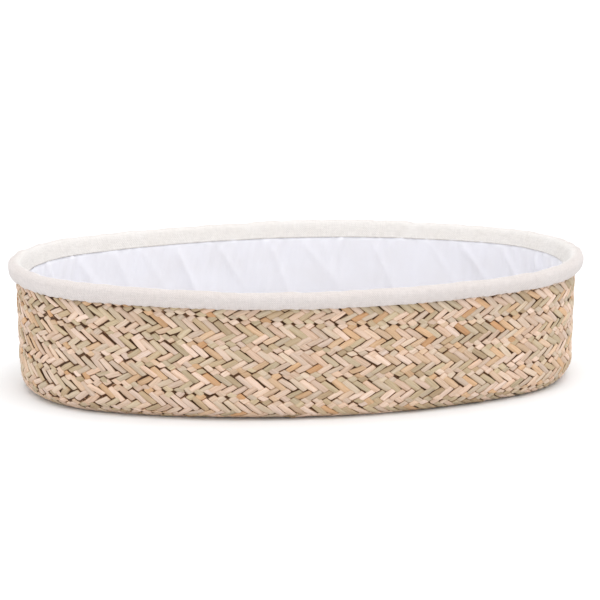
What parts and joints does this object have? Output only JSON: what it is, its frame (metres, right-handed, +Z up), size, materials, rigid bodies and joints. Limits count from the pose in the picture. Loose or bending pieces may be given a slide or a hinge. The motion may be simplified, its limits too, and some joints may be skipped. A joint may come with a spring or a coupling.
{
  "type": "moses basket",
  "caption": "Low oval moses basket of plaited seagrass with a lift-out fabric liner, a padded cuff over the rim and a loose foam mattress.",
  "frame": {"origin": "centre of the basket's footprint, on the surface it stands on", "axes": "+X along the basket's length, +Y across its width, +Z up through the open top"},
  "size_m": [0.76, 0.45, 0.168],
  "materials": {
    "seagrass": "matte",
    "sewing_twine": "matte",
    "cream_fabric": "matte",
    "white_cotton": "matte",
    "foam": "matte",
    "jersey": "matte",
    "elastic": "matte"
  },
  "bodies": {
    "basket": {"base_plait_start": "seagrass", "base_plait_1": "seagrass", "base_plait_2": "seagrass", "base_plait_3": "seagrass", "base_plait_4": "seagrass", "base_plait_5": "seagrass", "corner_plait_1": "seagrass", "corner_plait_2": "seagrass", "wall_plait_1": "seagrass", "wall_plait_2": "seagrass", "wall_plait_3": "seagrass", "base_seam_twine": "sewing_twine", "wall_seam_twine": "sewing_twine"},
    "liner": {"cuff_fabric": "cream_fabric", "cuff_padding": "foam", "hem_elastic": "elastic", "lining_side": "white_cotton", "lining_floor": "white_cotton"},
    "mattress": {"foam_core": "foam", "cover_top": "jersey", "cover_base": "jersey", "cover_border": "jersey"}
  },
  "joints": [
    {"name": "liner_lift", "type": "slide", "parent": "basket", "child": "liner", "axis": [0, 0, 1], "range_m": [0, 0.2]},
    {"name": "mattress_lift", "type": "slide", "parent": "liner", "child": "mattress", "axis": [0, 0, 1], "range_m": [0, 0.2]}
  ]
}
